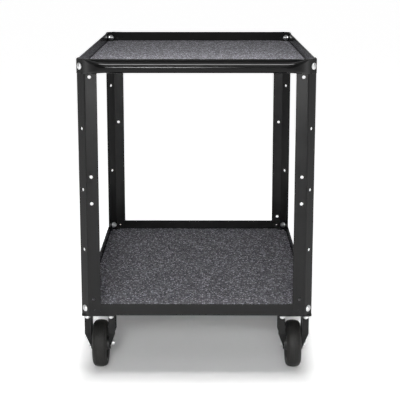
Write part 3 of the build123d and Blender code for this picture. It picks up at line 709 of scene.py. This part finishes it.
def corner_places(height, lift):
    """The middle of each corner facet at a height, lifted off it, and the way it faces."""
    places = []
    for side_y in ends.values():
        for side_x in sides.values():
            way = Vector((side_x, side_y, 0)).normalized()
            out_x, out_y = half_width - post_facet / 2, half_length - post_facet / 2
            places.append((Vector((side_x * out_x, side_y * out_y, height)) + way * lift, way))
    return places


def turned_back(places):
    return [(point, -way) for point, way in places]


def corner_fasteners():
    """The corner bolts and their nuts. The upper ones also hold the push handles' crushed ends."""
    nut = prototype("flange nut model", nut_shape(nut_flats, nut_height, nut_flange, 2 * screw_radius))
    inner = -(post_sheet + tray_sheet)
    for level, lift, length in (("upper", tab_thickness, handle_bolt_length),
                                ("lower", 0.0, deck_bolt_length)):
        height = middle(f"{level}_corner_nuts").z
        bolt = prototype(f"{level} bolt model", button_bolt_shape(length))
        fasteners(f"{level}_button_bolts", bolt, corner_places(height, lift), "frame",
                  [f"{level}_corner_bolts"], 11)
        fasteners(f"{level}_flange_nuts", nut, turned_back(corner_places(height, inner)), "frame",
                  [f"{level}_corner_nuts"], 12)
    return nut


def caster_fasteners(nut):
    """Four clinch studs and four nuts for each caster's plate."""
    stud_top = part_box("lower_tray")[0][2]
    plate_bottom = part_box("front_left_fork")[1][2] - plate_thickness
    studs, nuts = [], []
    for end in ends:
        for side in sides:
            plate = "fork" if end == "front" else "top_plate"
            centre = middle(f"{end}_{side}_{plate}")
            for step_x in (-1, 1):
                for step_y in (-1, 1):
                    x, y = centre.x + step_x * plate_bolts.x, centre.y + step_y * plate_bolts.y
                    studs.append((Vector((x, y, stud_top)), Vector((0, 0, 1))))
                    nuts.append((Vector((x, y, plate_bottom)), Vector((0, 0, -1))))
    stud = prototype("clinch stud model", stud_shape(stud_length, stud_head))
    fasteners("clinch_studs", stud, studs, "frame", ["caster_studs"], 13)
    fasteners("plate_nuts", nut, nuts, "frame", ["caster_nuts"], 14)


# ---- Floor, light and camera -----------------------------------------------------------------
wall_light = 0.95
far_wall_light = 0.5  # beyond the rear handle
dark_end_light = 0.20  # behind the camera
ceiling_light = 0.10
plain_backdrop = 1.2  # what the camera itself sees
# painted light and shadow: the floor's own emission, low under the cart as a painted shadow and bright
# around it
floor_painted_shadow_glow, floor_painted_light_glow = 0.06, 0.80
floor_reach = 30.0
# A softbox: name, place, what it points at, width, depth, power in watts, spread in degrees
softboxes = (
    ("overhead softbox", (0.0, 0.0, 3.4), (0.0, -0.2, 0.0), 3.4, 2.4, 10, 180),
    ("handle strip", (0.0, -2.3, 2.7), (0.0, -0.49, 0.8), 2.4, 0.16, 8, 180),
    ("near box", (0.0, -0.50, 1.20), (0.0, -0.38, 0.8), 0.7, 0.12, 5.5, 180),
    ("bay box", (0.0, -1.9, 0.68), (0.0, 0.0, 0.25), 1.2, 0.1, 2.0, 40),
    ("far box", (-0.35, -5.6, 2.6), (0.0, 0.0, 0.3), 0.7, 0.5, 100, 180),
)
camera_place = (0.020, -3.217, 1.112)
camera_dip, camera_turn = radians(11.36), radians(0.23)


def studio_floor():
    """A pale floor whose emission is painted light around the cart, dimmed to a painted shadow under it."""
    finish = Finish("pale studio floor with painted shadow")
    tree = finish.tree
    tone = cloud(tree, finish.where, 0.5, 2.0)
    parts = place(tree, "ShaderNodeSeparateXYZ", {0: finish.where}).outputs
    across = maths(tree, "DIVIDE", maths(tree, "ABSOLUTE", parts[0]), half_width)
    along = maths(tree, "DIVIDE", maths(tree, "ABSOLUTE", parts[1]), half_length)
    away = maths(tree, "MAXIMUM", maths(tree, "MULTIPLY", across, 1.15), along)
    # painted shadow: the floor glows less inside the cart's footprint, standing in for the shade the cart
    # casts
    painted_shadow_and_light_glow = blend_colour(tree, step(tree, away, 0.95, 1.38), grey(floor_painted_shadow_glow), grey(floor_painted_light_glow))
    finish.set(Base_Color=blend_colour(tree, tone, grey(0.86), grey(0.88)), Roughness=0.6,
               Emission_Color=painted_shadow_and_light_glow, Emission_Strength=1.0)
    mesh = bpy.data.meshes.new("studio_floor")
    corners = [(x * floor_reach, y * floor_reach, 0) for x, y in ((-1, -1), (1, -1), (1, 1), (-1, 1))]
    mesh.from_pydata(corners, [], [(0, 1, 2, 3)])
    mesh.materials.append(finish.material)
    floor = bpy.data.objects.new("studio_floor", mesh)
    bpy.context.scene.collection.objects.link(floor)


def softbox(name, at, towards, width, depth, power, spread):
    lamp = bpy.data.lights.new(name, "AREA")
    lamp.shape = "RECTANGLE"
    lamp.size, lamp.size_y = width, depth
    lamp.energy = power
    lamp.spread = radians(spread)
    holder = bpy.data.objects.new(name, lamp)
    holder.location = at
    holder.rotation_euler = (Vector(towards) - Vector(at)).to_track_quat("-Z", "Y").to_euler()
    holder.visible_camera = False
    bpy.context.scene.collection.objects.link(holder)


def studio_light():
    """A white room, darker overhead and at both ends, with its softboxes."""
    world = bpy.data.worlds.new("white studio")
    world.use_nodes = True
    tree = world.node_tree
    way = place(tree, "ShaderNodeTexCoord").outputs["Generated"]
    behind_camera = place(tree, "ShaderNodeVectorMath", {0: way, 1: (0.0, -1.0, 0.0)},
                          operation="DOT_PRODUCT").outputs["Value"]
    height = place(tree, "ShaderNodeSeparateXYZ", {0: way}).outputs[2]
    walls = blend_value(tree, step(tree, behind_camera, 0.0, 0.75), wall_light, dark_end_light)
    walls = blend_value(tree, step(tree, behind_camera, -0.4, -0.9), walls, far_wall_light)
    room = blend_value(tree, step(tree, height, 0.1, 0.75), walls, ceiling_light)
    seen = place(tree, "ShaderNodeLightPath").outputs["Is Camera Ray"]
    background = next(node for node in tree.nodes if node.type == "BACKGROUND")
    feed(tree, background.inputs["Color"], (1.0, 1.0, 1.0, 1.0))
    feed(tree, background.inputs["Strength"], blend_value(tree, seen, room, plain_backdrop))
    bpy.context.scene.world = world
    for values in softboxes:
        softbox(*values)


def studio_camera():
    """A long lens a little over deck height, looking down the cart from its handle end."""
    lens = bpy.data.cameras.new("camera")
    lens.lens = 98.7
    lens.sensor_width = 36.0
    lens.shift_y = -0.08
    lens.clip_end = 100.0
    camera = bpy.data.objects.new("camera", lens)
    camera.location = camera_place
    camera.rotation_euler = (radians(90) - camera_dip, 0.0, camera_turn)
    bpy.context.scene.collection.objects.link(camera)
    bpy.context.scene.camera = camera


# ---- Putting it together ---------------------------------------------------------------------
coat_cad_nodes()
laid_liner("upper_liner", "upper_deck_mat", 1.0)
laid_liner("lower_liner", "lower_deck_mat", 2.0)
for end in ends:
    for side in sides:
        tyre(f"{end}_{side}_cast_tyre", f"{end}_{side}_tyre", f"wheel_{end}_{side}")
caster_fasteners(corner_fasteners())
studio_floor()
studio_light()
studio_camera()
bpy.context.scene.view_settings.view_transform = "Standard"
